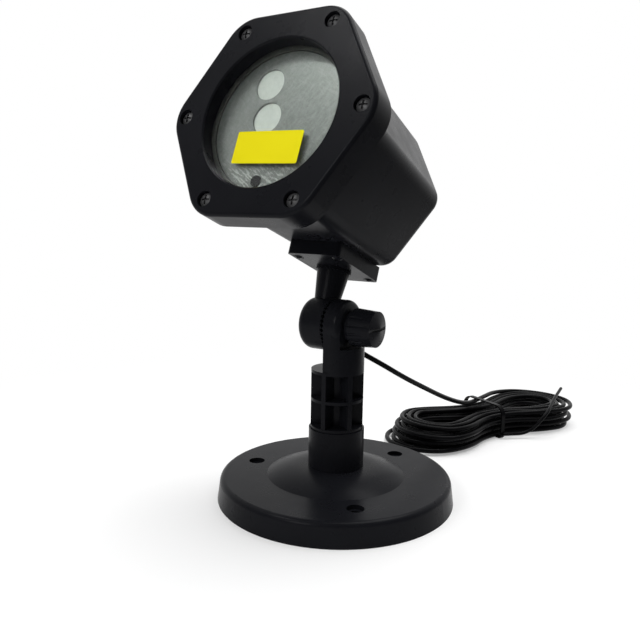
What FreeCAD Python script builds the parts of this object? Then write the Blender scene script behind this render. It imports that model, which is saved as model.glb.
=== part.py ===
import FreeCAD, Part
import math
import os
import Sketcher
from types import SimpleNamespace
from FreeCAD import Placement, Rotation, Vector

# Laser show projector on a round foot: a six-sided head on a serrated tilt knuckle.
# Millimetres, +Z up, origin on the floor under the post, head facing -Y.

SIZES = {
    # Foot
    "base_radius": 57.5, "rim_draft": 1.5, "rim_height": 11, "rim_round": 2.5, "rim_set": 2.18,
    "dome_radius": 33.5, "dome_rise": 4.5, "dome_curve": 45,
    "sleeve_radius": 13.5, "sleeve_height": 34.5, "socket_floor": 8, "base_wall": 2.5,
    "fixing_circle": 42.4, "fixing_turn": 72.8, "fixing_hole_radius": 2.25,
    "counterbore_radius": 4, "counterbore_depth": 2, "boss_radius": 5.5,
    "web_thickness": 1.6, "web_lift": 1.2, "web_count": 15, "fixing_count": 3,
    # Post
    "plug_radius": 10.4, "running_gap": 0.1, "plug_lead": 1, "post_radius": 12.7, "core_radius": 5,
    "disc_thickness": 1.4, "tier_height": 12.3, "shelf_thickness": 1.5,
    "post_rib_thickness": 2.3, "post_rib_count": 6,
    # Tilt knuckle
    "hinge_height": 84.4, "seam_side": -1.9, "drum_radius": 12.5, "arm_width": 14.5, "drum_round": 4,
    "post_drum_end": 7, "drum_edge": 3, "neck_angle": 15, "neck_gap": 0.6,
    "tooth_height": 0.85, "tooth_root": 8.5, "tooth_count": 36, "seam_gap": 0.3,
    "bolt_radius": 2.5, "bolt_clearance": 0.1, "bolt_tip": 4, "nut_flats": 8, "nut_height": 4,
    "nut_floor": 3, "nut_clearance": 0.1,
    # Thumb knob
    "knob_gap": 0.3, "collar_radius": 7.6, "collar_length": 2.2, "knob_radius": 9.1, "knob_tip_radius": 8.4,
    "knob_length": 12.9, "knob_dome": 1.6, "knob_slot": 1.4,
    "flute_count": 14, "flute_radius": 0.9, "flute_set": 0.3,
    # Arm
    "stem_foot_radius": 5.7, "stem_top_radius": 8, "stem_start": 7,
    "flange_radius": 8.6, "flange_thickness": 1.4,
    "block_drop": 27, "block_offset": 1.75, "block_half_width": 14, "block_front": 24.5, "block_rear": 18,
    "block_round": 2,
    "block_screw_side": 10.6, "block_screw_front": 19, "block_screw_rear": 14,
    "recess_radius": 2.65, "recess_depth": 1.2, "arm_shank_radius": 1.5, "shank_clearance": 0.05,
    "arm_head_radius": 2.5, "arm_head_height": 1.9, "arm_screw_length": 9,
    # Head
    "tilt": 21, "hinge_inset": 17.8, "saddle_rise": 32.7, "head_offset": 2.75,
    "glass_radius": 36, "glass_lap": 3.5, "glass_thickness": 2, "window_lip": 0.6,
    "bezel_margin": 8.8, "bezel_depth": 12.6, "bezel_corner": 15.5, "bezel_round": 1.6, "face_wall": 6,
    "skirt_wall": 2,
    "screw_inset": 6, "screw_recess_radius": 3.5, "screw_recess_depth": 2.6, "bezel_screw_count": 6,
    "screw_head_radius": 3.1, "screw_head_height": 1.9, "screw_shank_radius": 1.5, "screw_length": 9,
    "flange_clearance": 0.2, "seal_thickness": 1, "seal_width": 3.6,
    "ledge_depth": 10, "ledge_thickness": 2.4, "ledge_lap": 3,
    "shell_step": 8.6, "shell_draft": 1.8, "shell_depth": 97, "shell_corner": 9,
    "shell_round": 6, "shell_wall": 2.5, "spacer_width": 2, "plate_thickness": 1,
    "aperture_radius": 7, "aperture_side": -6.1, "aperture_lean": 2.4,
    "aperture_high": 17, "aperture_pitch": 15.4,
    "sensor_side": -4, "sensor_margin": 9.5, "sensor_radius": 2.4, "sensor_reach": 1.5,
    "sensor_width": 6.2, "sensor_depth": 4.8, "sensor_height": 7.2,
    # Light sources and driver
    "grating_radius": 7.5, "grating_thickness": 1.5,
    "module_radius": 6, "module_length": 34, "module_fit": 0.05, "holder_depth": 20, "holder_margin": 4.5,
    "board_lift": 16.2, "board_side_gap": 7.25, "board_front": 30, "board_rear_gap": 13,
    "board_thickness": 1.6,
    "pillar_radius": 3.2, "pillar_inset": 4, "pillar_side": 13, "arm_pillar_height": 9,
    "board_shank_radius": 1.1, "board_screw_length": 6, "board_head_radius": 2.3, "board_head_height": 1.5,
    "component_row": 20, "terminal_row": 10,
    "capacitor_radius": 4, "capacitor_height": 9, "coil_radius": 4.5, "coil_height": 5,
    "chip_length": 8, "chip_width": 6, "chip_height": 1.8,
    "terminal_length": 10, "terminal_width": 7, "terminal_height": 8,
    # Cable
    "cable_radius": 1.4,
    "gland_radius": 2.3, "gland_tip_radius": 1.8, "gland_length": 8, "gland_side": -5.2, "gland_rear": 13.2,
    "gland_gap": 0.1,
    "hank_angle": 63, "hank_x": 27.4, "hank_y": 138.7, "hank_lift": 1,
    "hank_half_length": 72, "hank_half_width": 25, "waist_half_width": 15, "lobe_place": 43,
    "end_step": 3.9, "lobe_step": 3.9, "waist_step": 3.9, "layer_step": 3.8,
    "tie_thickness": 0.8, "tie_width": 2.8, "tie_slack": 0.2, "tie_wire_radius": 1,
    "tie_low_round": 1.4, "tie_high_round": 5.6,
    "jack_radius": 4.2, "jack_bevel": 1, "jack_neck_radius": 3.4, "jack_length": 19, "jack_neck_length": 9,
    "jack_aside": 2, "jack_pin_radius": 2.75, "jack_pin_length": 9.5,
}

doc = FreeCAD.newDocument("laser_show_projector")
sheet = doc.addObject("Spreadsheet::Sheet", "sizes")
for row, (alias, number) in enumerate(SIZES.items(), start=1):
    sheet.set(f"A{row}", alias)
    sheet.set(f"B{row}", str(number))
    sheet.setAlias(f"B{row}", alias)
doc.recompute()


class Size:
    """A number that carries its formula over the sheet along with its present value."""

    def __init__(self, formula, value):
        self.formula = formula
        self.value = value

    def __add__(self, other):
        other = as_size(other)
        return Size(f"({self.formula} + {other.formula})", self.value + other.value)

    def __sub__(self, other):
        other = as_size(other)
        return Size(f"({self.formula} - {other.formula})", self.value - other.value)

    def __mul__(self, other):
        other = as_size(other)
        return Size(f"({self.formula} * {other.formula})", self.value * other.value)

    def __truediv__(self, other):
        other = as_size(other)
        return Size(f"({self.formula} / {other.formula})", self.value / other.value)

    def __neg__(self):
        return Size(f"(-1 * {self.formula})", -self.value)

    def __radd__(self, other):
        return as_size(other) + self

    def __rsub__(self, other):
        return as_size(other) - self

    def __rmul__(self, other):
        return as_size(other) * self


def as_size(thing):
    return thing if isinstance(thing, Size) else Size(f"({thing})", float(thing))


def cosine(angle):
    return Size(f"cos({angle.formula} * 1 deg)", math.cos(math.radians(angle.value)))


def sine(angle):
    return Size(f"sin({angle.formula} * 1 deg)", math.sin(math.radians(angle.value)))


S = SimpleNamespace(**{alias: Size(f"sizes.{alias}", float(sheet.get(alias))) for alias in SIZES})

# A hexagon's corner distance and half side, as shares of its apothem
CORNER_SHARE = 2 / math.sqrt(3)
SIDE_SHARE = 1 / math.sqrt(3)
# A screw's cross recess: length and width as shares of the head's radius, depth as a share of its height
CROSS_LENGTH, CROSS_WIDTH, CROSS_DEPTH = 1.2, 0.28, 0.6
# Overlap that lets features of one moulding join
WELD = 0.1

parts = {}


def bind(thing, prop, size):
    thing.setExpression(prop, as_size(size).formula)


def keep(thing, label):
    thing.Label = label
    parts[label] = thing
    return thing


# Where pieces sit

arm_middle = S.seam_side - S.arm_width / 2
head_middle = arm_middle + S.head_offset
block_middle = arm_middle + S.block_offset
bezel_apothem = S.glass_radius + S.bezel_margin
shell_apothem = bezel_apothem - S.shell_step
shell_rear_apothem = shell_apothem - S.shell_draft
head_rise = shell_apothem + S.saddle_rise
face_reach = S.shell_depth - S.hinge_inset
face_y = head_rise * sine(S.tilt) - face_reach * cosine(S.tilt)
face_z = S.hinge_height + face_reach * sine(S.tilt) + head_rise * cosine(S.tilt)


def set_place(thing, x, y, z, turn, axis=Vector(-1, 0, 0)):
    turn = as_size(turn)
    thing.Placement = Placement(Vector(), Rotation(axis, turn.value))
    bind(thing, "Placement.Rotation.Angle", turn)
    for letter, size in zip("xyz", (x, y, z)):
        bind(thing, f"Placement.Base.{letter}", size)


def on_hinge(thing, middle=arm_middle):
    """Arm frame: origin on the hinge axis in the middle of the arm's drum, tilted back with the head."""
    set_place(thing, middle, 0, S.hinge_height, S.tilt)


def on_face(thing, side=0, depth=0, up=0, turn=0):
    """Head frame: origin mid-way on the bezel's face, +Y into the head. A turn of 90 lays Z along +Y."""
    depth, up = as_size(depth), as_size(up)
    set_place(thing, head_middle + side,
              face_y + depth * cosine(S.tilt) + up * sine(S.tilt),
              face_z - depth * sine(S.tilt) + up * cosine(S.tilt), S.tilt + turn)


def face_frame():
    tilted = Rotation(Vector(-1, 0, 0), S.tilt.value)
    return Placement(Vector(head_middle.value, face_y.value, face_z.value), tilted)


def block_frame():
    """Like the arm frame, with its origin under the middle of the foot block."""
    tilted = Rotation(Vector(-1, 0, 0), S.tilt.value)
    return Placement(Vector(block_middle.value, 0, S.hinge_height.value), tilted)


# Sketches and features

def new_body(label, place=None):
    body = keep(doc.addObject("PartDesign::Body", label), label)
    if place:
        place(body)
    return body


def origin(body, role):
    return next(feature for feature in body.Origin.OriginFeatures if feature.Role == role)


def new_sketch(body, role, offset=None):
    sketch = body.newObject("Sketcher::SketchObject", "outline")
    sketch.AttachmentSupport = [(origin(body, role), "")]
    sketch.MapMode = "FlatFace"
    if offset is not None:
        bind(sketch, "AttachmentOffset.Base.z", offset)
    return sketch


def dimension(sketch, constraint, size):
    index = sketch.addConstraint(constraint)
    bind(sketch, f"Constraints[{index}]", size)


def pin_point(sketch, side, end, u, v):
    u, v = as_size(u), as_size(v)
    dimension(sketch, Sketcher.Constraint("DistanceX", -1, 1, side, end, u.value), u)
    dimension(sketch, Sketcher.Constraint("DistanceY", -1, 1, side, end, v.value), v)


def circle(sketch, u, v, radius):
    u, v, radius = as_size(u), as_size(v), as_size(radius)
    index = sketch.addGeometry(Part.Circle(Vector(u.value, v.value, 0), Vector(0, 0, 1), radius.value))
    dimension(sketch, Sketcher.Constraint("Radius", index, radius.value), radius)
    pin_point(sketch, index, 3, u, v)


def round_side(start, end, radius):
    """Arc from start to end: a positive radius turns left, a negative one right."""
    chord = end - start
    left = Vector(-chord.y, chord.x, 0).normalize()
    reach = math.sqrt(radius * radius - chord.Length ** 2 / 4)
    centre = (start + end) * 0.5 + left * math.copysign(reach, radius)
    angles = [math.atan2(spot.y - centre.y, spot.x - centre.x) for spot in (start, end)]
    if radius < 0:
        angles.reverse()
    return Part.ArcOfCircle(Part.Circle(centre, Vector(0, 0, 1), abs(radius)), *angles)


def outline(sketch, corners, arcs=None):
    """Closed outline through the corners, with arcs giving the radius of each side that is round."""
    arcs = arcs or {}
    corners = [(as_size(u), as_size(v)) for u, v in corners]
    spots = [Vector(u.value, v.value, 0) for u, v in corners]
    ends = []
    for number, start in enumerate(spots):
        finish = spots[(number + 1) % len(spots)]
        radius = arcs.get(number)
        side = round_side(start, finish, radius.value) if radius else Part.LineSegment(start, finish)
        index = sketch.addGeometry(side)
        backwards = radius is not None and radius.value < 0
        ends.append((index, 2, 1) if backwards else (index, 1, 2))
        if radius:
            size = -radius if backwards else radius
            dimension(sketch, Sketcher.Constraint("Radius", index, size.value), size)
    for number, (index, first, _) in enumerate(ends):
        before, _, last = ends[number - 1]
        sketch.addConstraint(Sketcher.Constraint("Coincident", before, last, index, first))
        pin_point(sketch, index, first, *corners[number])


def compass(degrees):
    """Unit step in a direction, without the last digits that stand for nought."""
    return round(math.cos(math.radians(degrees)), 12), round(math.sin(math.radians(degrees)), 12)


def hexagon(sketch, apothem, corner=None):
    """Hexagon with a corner on the first axis, sharp or rounded by a radius."""
    reach = apothem * CORNER_SHARE
    spots = []
    for degrees in range(0, 360, 60):
        u, v = compass(degrees)
        if corner is None:
            spots.append((reach * u, reach * v))
            continue
        for way in (degrees - 120, degrees + 120):
            along, across = compass(way)
            trim = corner * SIDE_SHARE
            spots.append((reach * u + trim * along, reach * v + trim * across))
    outline(sketch, spots, {side: corner for side in range(0, len(spots), 2)} if corner else None)


def rectangle(sketch, left, bottom, right, top):
    outline(sketch, [(left, bottom), (right, bottom), (right, top), (left, top)])


def feature(body, kind, sketch, length=None, flip=False, middle=False, through=False, taper=None):
    made = body.newObject(f"PartDesign::{kind}", kind.lower())
    made.Profile = sketch
    made.Reversed = flip
    if middle:
        made.SideType = "Symmetric"
    if through:
        made.Type = "ThroughAll"
    else:
        bind(made, "Length", length)
    if taper is not None:
        bind(made, "TaperAngle", taper)
    return made


def spun(body, sketch, kind="Revolution", axis="V_Axis"):
    made = body.newObject(f"PartDesign::{kind}", kind.lower())
    made.Profile = sketch
    made.ReferenceAxis = (sketch, [axis])
    made.Angle = 360
    return made


def ring_of(body, features, count, axis):
    pattern = body.newObject("PartDesign::PolarPattern", "ring")
    pattern.Originals = features
    pattern.Axis = (origin(body, axis), [""])
    pattern.Angle = 360
    bind(pattern, "Occurrences", count)
    body.Tip = pattern
    return pattern


def soften(body, radius, wanted, kind="Fillet"):
    """Round or bevel the edges that a test picks out."""
    doc.recompute()
    base = body.Tip
    names = [f"Edge{number}" for number, edge in enumerate(base.Shape.Edges, start=1) if wanted(edge)]
    made = body.newObject(f"PartDesign::{kind}", kind.lower())
    made.Base = (base, names)
    bind(made, "Radius" if kind == "Fillet" else "Size", radius)
    return made


def near(number, target):
    return abs(number - as_size(target).value) < 1e-4


def runs_along(edge, letter):
    start, end = edge.Vertexes[0].Point, edge.Vertexes[-1].Point
    span = end - start
    return span.Length > 1 and abs(getattr(span, letter)) > 0.99 * span.Length


# Solids from Part's primitives

def block(name, length, width, height):
    made = doc.addObject("Part::Box", name)
    for prop, size in zip(("Length", "Width", "Height"), (length, width, height)):
        bind(made, prop, size)
    return made


def rod(name, radius, height):
    made = doc.addObject("Part::Cylinder", name)
    bind(made, "Radius", radius)
    bind(made, "Height", height)
    return made


def cut(label, base, tool):
    made = doc.addObject("Part::Cut", label)
    made.Base = base
    made.Tool = tool
    return made


def fused(label, shapes):
    made = doc.addObject("Part::MultiFuse", label)
    made.Shapes = shapes
    return made


def group(label, members):
    made = doc.addObject("Part::Compound", label)
    made.Links = members
    return made


def solid(label, shape, place=Placement()):
    made = doc.addObject("Part::Feature", label)
    made.Shape = shape
    made.Placement = place
    return keep(made, label)


def screw_solid(head_radius, head_height, shank_radius, length):
    """Cross-recess screw: seat at the origin, shank along +Z, domed head below."""
    dome = head_radius ** 2 / head_height + head_height / 4
    centre = dome - head_height
    half = math.asin(head_radius / dome) / 2
    seat = [Vector(0, 0, length), Vector(shank_radius, 0, length), Vector(shank_radius, 0, 0),
            Vector(head_radius, 0, 0), Vector(head_radius, 0, -head_height / 2)]
    shoulder = Vector(dome * math.sin(half), 0, centre - dome * math.cos(half))
    crown = Vector(0, 0, -head_height)
    edges = [Part.LineSegment(a, b).toShape() for a, b in zip(seat, seat[1:])]
    edges.append(Part.Arc(seat[-1], shoulder, crown).toShape())
    edges.append(Part.LineSegment(crown, seat[0]).toShape())
    screw = Part.Face(Part.Wire(edges)).revolve(Vector(), Vector(0, 0, 1), 360)
    long, wide = head_radius * CROSS_LENGTH, head_radius * CROSS_WIDTH
    for length, width in ((long, wide), (wide, long)):
        corner = Vector(-length / 2, -width / 2, -head_height * 2)
        screw = screw.cut(Part.makeBox(length, width, head_height * (1 + CROSS_DEPTH), corner))
    return screw


def copies(label, shape, places):
    """One node of separate like solids."""
    made = []
    for place in places:
        one = shape.copy()
        one.Placement = place
        made.append(one)
    return solid(label, Part.makeCompound(made))


# Foot

bore_radius = S.plug_radius + S.running_gap
rim_top_radius = S.base_radius - S.rim_draft
dome_top = S.rim_height + S.dome_rise


def build_base():
    body = new_body("base")
    sketch = new_sketch(body, "XZ_Plane")
    under = S.rim_height - S.base_wall
    outline(sketch, [
        (S.base_radius, 0),
        (rim_top_radius + S.rim_set * S.rim_draft / S.rim_height, S.rim_height - S.rim_set),
        (rim_top_radius - S.rim_set, S.rim_height), (S.dome_radius, S.rim_height),
        (S.sleeve_radius, dome_top), (S.sleeve_radius, S.sleeve_height), (bore_radius, S.sleeve_height),
        (bore_radius, S.socket_floor), (0, S.socket_floor), (0, S.socket_floor - S.base_wall),
        (S.sleeve_radius, S.socket_floor - S.base_wall), (S.sleeve_radius, dome_top - S.base_wall),
        (S.dome_radius, under), (rim_top_radius - S.base_wall, under), (S.base_radius - S.base_wall, 0)],
        {1: S.rim_round, 3: S.dome_curve})
    spun(body, sketch)
    sketch = new_sketch(body, "XZ_Plane")
    web_end = S.base_radius - S.base_wall / 2 - S.rim_draft
    rectangle(sketch, S.sleeve_radius - WELD, S.web_lift, web_end, under + WELD)
    web = feature(body, "Pad", sketch, S.web_thickness, middle=True)
    ring_of(body, [web], S.web_count, "Z_Axis")
    x = S.fixing_circle * cosine(S.fixing_turn)
    y = S.fixing_circle * sine(S.fixing_turn)
    sketch = new_sketch(body, "XY_Plane")
    circle(sketch, x, y, S.boss_radius)
    boss = feature(body, "Pad", sketch, under + WELD)
    ring_of(body, [boss], S.fixing_count, "Z_Axis")
    sketch = new_sketch(body, "XY_Plane", S.rim_height)
    circle(sketch, x, y, S.counterbore_radius)
    seat = feature(body, "Pocket", sketch, S.counterbore_depth)
    sketch = new_sketch(body, "XY_Plane", S.rim_height)
    circle(sketch, x, y, S.fixing_hole_radius)
    hole = feature(body, "Pocket", sketch, through=True)
    ring_of(body, [seat, hole], S.fixing_count, "Z_Axis")


# Post

post_seat = S.sleeve_height + S.running_gap
tier_one = post_seat + S.disc_thickness
tier_two = tier_one + S.tier_height + S.disc_thickness
shelf = tier_two + S.tier_height + S.shelf_thickness
seam_inset = S.seam_gap / 2 + S.tooth_height
bolt_bore = S.bolt_radius + S.bolt_clearance
seam_face = S.seam_side + seam_inset


def add_teeth(body, face, tip):
    """Radial teeth on a drum's end face, which stands square to X."""
    pitch = S.drum_radius * (2 * math.pi) / S.tooth_count
    sketch = new_sketch(body, "XY_Plane", S.tooth_root)
    outline(sketch, [(face, -pitch / 2), (tip, 0), (face, pitch / 2)])
    tooth = feature(body, "Pad", sketch, S.drum_radius - S.tooth_root - WELD)
    return ring_of(body, [tooth], S.tooth_count, "X_Axis")


def build_post():
    body = new_body("post", lambda thing: set_place(thing, 0, 0, S.hinge_height, 0))
    low = S.socket_floor + S.running_gap - S.hinge_height
    levels = [level - S.hinge_height for level in (post_seat, tier_one, tier_one + S.tier_height, tier_two,
                                                   tier_two + S.tier_height, shelf)]
    sketch = new_sketch(body, "XZ_Plane")
    outline(sketch, [
        (0, low), (S.plug_radius - S.plug_lead, low), (S.plug_radius, low + S.plug_lead),
        (S.plug_radius, levels[0]), (S.post_radius, levels[0]), (S.post_radius, levels[1]),
        (S.core_radius, levels[1]), (S.core_radius, levels[2]), (S.post_radius, levels[2]),
        (S.post_radius, levels[3]), (S.core_radius, levels[3]), (S.core_radius, levels[4]),
        (S.post_radius, levels[4]), (S.post_radius, levels[5]), (0, levels[5])])
    spun(body, sketch)
    sketch = new_sketch(body, "YZ_Plane")
    rib_start = S.core_radius - S.post_rib_thickness / 2
    rectangle(sketch, rib_start, levels[1] - WELD, S.post_radius - WELD, levels[4] + WELD)
    rib = feature(body, "Pad", sketch, S.post_rib_thickness, middle=True)
    ring_of(body, [rib], S.post_rib_count, "Z_Axis")
    # Half-round neck, flat on the seam side
    half = S.post_radius * cosine(S.neck_angle)
    flat = S.post_radius * sine(S.neck_angle)
    sketch = new_sketch(body, "XY_Plane", levels[5] - WELD)
    outline(sketch, [(seam_face, -half), (flat, -half), (flat, half), (seam_face, half)], {1: S.post_radius})
    feature(body, "Pad", sketch, WELD - levels[5])
    # Shoulder under the knob
    sketch = new_sketch(body, "XZ_Plane")
    rectangle(sketch, S.post_drum_end, -S.knob_radius - S.neck_gap, S.post_radius + WELD, WELD)
    feature(body, "Pocket", sketch, S.post_radius * 2 + WELD, middle=True)
    sketch = new_sketch(body, "XZ_Plane")
    outline(sketch, [(seam_face, 0), (seam_face, S.drum_radius),
                     (S.post_drum_end - S.drum_edge, S.drum_radius),
                     (S.post_drum_end, S.drum_radius - S.drum_edge), (S.post_drum_end, 0)], {2: -S.drum_edge})
    spun(body, sketch, axis="H_Axis")
    add_teeth(body, seam_face, S.seam_side + S.seam_gap / 2)
    sketch = new_sketch(body, "YZ_Plane", S.seam_side)
    circle(sketch, 0, 0, bolt_bore)
    feature(body, "Pocket", sketch, flip=True, through=True)


# Arm: everything is measured from the hinge axis

arm_face = S.arm_width / 2 - seam_inset
drum_left = -S.arm_width / 2
shell_slope = S.shell_draft / (S.shell_depth - S.bezel_depth)


def shell_under(back):
    """Height of the housing's underside above the hinge axis, at a distance behind the axis."""
    return S.saddle_rise + (face_reach + back - S.bezel_depth) * shell_slope


def block_screw_spots():
    for back in (-S.block_screw_front, S.block_screw_rear):
        for side in (-S.block_screw_side, S.block_screw_side):
            yield side, back


def build_arm():
    body = new_body("tilt_arm", on_hinge)
    sketch = new_sketch(body, "YZ_Plane", drum_left)
    circle(sketch, 0, 0, S.drum_radius)
    feature(body, "Pad", sketch, arm_face - drum_left)
    soften(body, S.drum_round, lambda edge: near(edge.BoundBox.XMax, drum_left))
    sketch = new_sketch(body, "XZ_Plane")
    flange_foot = S.block_drop - S.flange_thickness
    outline(sketch, [(0, S.stem_start), (S.stem_foot_radius, S.stem_start), (S.stem_top_radius, flange_foot),
                     (S.flange_radius, flange_foot), (S.flange_radius, S.block_drop + WELD),
                     (0, S.block_drop + WELD)])
    spun(body, sketch)
    sketch = new_sketch(body, "YZ_Plane", S.block_offset)
    outline(sketch, [(-S.block_front, S.block_drop), (S.block_rear, S.block_drop),
                     (S.block_rear, shell_under(S.block_rear)),
                     (-S.block_front, shell_under(-S.block_front))])
    feature(body, "Pad", sketch, S.block_half_width * 2, middle=True)
    soften(body, S.block_round, lambda edge: runs_along(edge, "z") and edge.BoundBox.ZMin > S.stem_start.value
           and near(abs(edge.BoundBox.XMax - S.block_offset.value), S.block_half_width))
    add_teeth(body, arm_face, S.arm_width / 2 - S.seam_gap / 2)
    for radius, depth in ((S.recess_radius, S.recess_depth), (S.arm_shank_radius + S.shank_clearance, None)):
        sketch = new_sketch(body, "XY_Plane", S.block_drop)
        for side, back in block_screw_spots():
            circle(sketch, S.block_offset + side, back, radius)
        feature(body, "Pocket", sketch, depth, flip=True, through=depth is None)
    sketch = new_sketch(body, "XY_Plane", S.block_drop)
    circle(sketch, S.block_offset + S.gland_side, S.gland_rear, S.gland_radius)
    feature(body, "Pocket", sketch, flip=True, through=True)
    # Caught nut, and the room beyond it for the bolt's tip
    sketch = new_sketch(body, "YZ_Plane", S.arm_width / 2)
    hexagon(sketch, S.nut_flats / 2 + S.nut_clearance)
    feature(body, "Pocket", sketch, S.arm_width / 2 + S.nut_floor)
    sketch = new_sketch(body, "YZ_Plane")
    circle(sketch, 0, 0, bolt_bore)
    feature(body, "Pocket", sketch, S.bolt_tip + S.bolt_clearance)


def build_arm_screws():
    seat = S.block_drop + S.recess_depth
    shape = screw_solid(S.arm_head_radius.value, S.arm_head_height.value, S.arm_shank_radius.value,
                        S.arm_screw_length.value)
    places = []
    for side, back in block_screw_spots():
        spot = Placement(Vector(side.value, back.value, seat.value), Rotation())
        places.append(block_frame().multiply(spot))
    copies("arm_screws", shape, places)


def build_hinge_bolt():
    tip = arm_middle - S.bolt_tip
    head = S.post_drum_end + S.knob_gap + S.collar_length + S.knob_length / 2
    bolt = keep(rod("hinge_bolt", S.bolt_radius, head - tip), "hinge_bolt")
    set_place(bolt, tip, 0, S.hinge_height, 90, Vector(0, 1, 0))
    body = new_body("hinge_nut", on_hinge)
    sketch = new_sketch(body, "YZ_Plane", -S.nut_floor)
    hexagon(sketch, S.nut_flats / 2)
    circle(sketch, 0, 0, bolt_bore)
    feature(body, "Pad", sketch, S.nut_height)


def build_knob():
    seat = S.post_drum_end + S.knob_gap
    body = new_body("clamp_knob", lambda thing: set_place(thing, seat, 0, S.hinge_height, 0))
    end = S.collar_length + S.knob_length
    bolt_end = S.collar_length + S.knob_length / 2
    sketch = new_sketch(body, "XZ_Plane")
    outline(sketch, [
        (0, S.bolt_radius), (0, S.collar_radius), (S.collar_length, S.collar_radius),
        (S.collar_length, S.knob_radius), (end - S.knob_dome, S.knob_tip_radius), (end, 0),
        (bolt_end, 0), (bolt_end, S.bolt_radius)])
    spun(body, sketch, axis="H_Axis")
    sketch = new_sketch(body, "YZ_Plane", S.collar_length)
    circle(sketch, 0, S.knob_radius + S.flute_set, S.flute_radius)
    flute = feature(body, "Pocket", sketch, S.knob_length, flip=True)
    ring_of(body, [flute], S.flute_count, "X_Axis")
    sketch = new_sketch(body, "YZ_Plane", end + WELD)
    rectangle(sketch, -S.knob_radius * 2, -S.knob_slot / 2, S.knob_radius * 2, S.knob_slot / 2)
    feature(body, "Pocket", sketch, S.knob_dome + WELD)


# Head shells, in the head frame

board_drop = shell_rear_apothem - S.board_lift
board_rear = S.shell_depth - S.board_rear_gap
board_half_width = shell_rear_apothem * CORNER_SHARE - board_drop * SIDE_SHARE - S.board_side_gap
seal_back = S.face_wall + S.seal_thickness
flange_back = S.ledge_depth + S.ledge_thickness
flange_apothem = bezel_apothem - S.skirt_wall - S.flange_clearance
skirt_corner = S.bezel_corner - S.skirt_wall
window_radius = S.glass_radius - S.glass_lap
corner_reach = bezel_apothem * CORNER_SHARE - S.bezel_corner * (CORNER_SHARE - 1)
screw_circle = corner_reach - S.screw_inset
screw_tip = S.screw_recess_depth + S.screw_length


def taper_angle():
    return Size(f"atan({shell_slope.formula})", math.degrees(math.atan(shell_slope.value)))


def shell_apothem_at(depth):
    return shell_apothem - (depth - S.bezel_depth) * shell_slope


def upright_edges(edge):
    return runs_along(edge, "y")


def build_bezel():
    body = new_body("front_bezel", on_face)
    sketch = new_sketch(body, "XZ_Plane")
    hexagon(sketch, bezel_apothem, S.bezel_corner)
    feature(body, "Pad", sketch, S.bezel_depth, flip=True)
    soften(body, S.bezel_round, lambda edge: near(edge.BoundBox.YMax, 0))
    inside = new_sketch(body, "XZ_Plane", -S.face_wall)
    hexagon(inside, bezel_apothem - S.skirt_wall, skirt_corner)
    feature(body, "Pocket", inside, S.bezel_depth)
    sketch = new_sketch(body, "XZ_Plane")
    circle(sketch, 0, 0, window_radius)
    feature(body, "Pocket", sketch, S.bezel_depth)
    soften(body, S.window_lip, lambda edge: near(edge.BoundBox.YMax, 0)
           and near(edge.BoundBox.XMax, window_radius), kind="Chamfer")
    made = []
    for radius, depth in ((S.screw_recess_radius, S.screw_recess_depth),
                          (S.screw_shank_radius + S.shank_clearance, S.bezel_depth)):
        sketch = new_sketch(body, "XZ_Plane")
        circle(sketch, screw_circle, 0, radius)
        made.append(feature(body, "Pocket", sketch, depth))
    ring_of(body, made, S.bezel_screw_count, "Y_Axis")


def build_bezel_screws():
    shape = screw_solid(S.screw_head_radius.value, S.screw_head_height.value, S.screw_shank_radius.value,
                        S.screw_length.value)
    places = []
    count = int(S.bezel_screw_count.value)
    for number in range(count):
        around = Rotation(Vector(0, 1, 0), 360 / count * number)
        spot = around.multVec(Vector(screw_circle.value, S.screw_recess_depth.value, 0))
        places.append(face_frame().multiply(Placement(spot, Rotation(Vector(1, 0, 0), -90))))
    copies("bezel_screws", shape, places)


def floor_at(depth):
    """Half-way through the shell's lower wall."""
    return S.shell_wall / 2 - shell_apothem_at(depth)


def pillars(body, spots, low, height, radius, kind="Pad"):
    """Round pillars, or bores, standing up from a level."""
    sketch = new_sketch(body, "XY_Plane", low)
    for side, depth in spots:
        circle(sketch, side, depth, radius)
    feature(body, kind, sketch, height, flip=kind == "Pocket")


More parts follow.
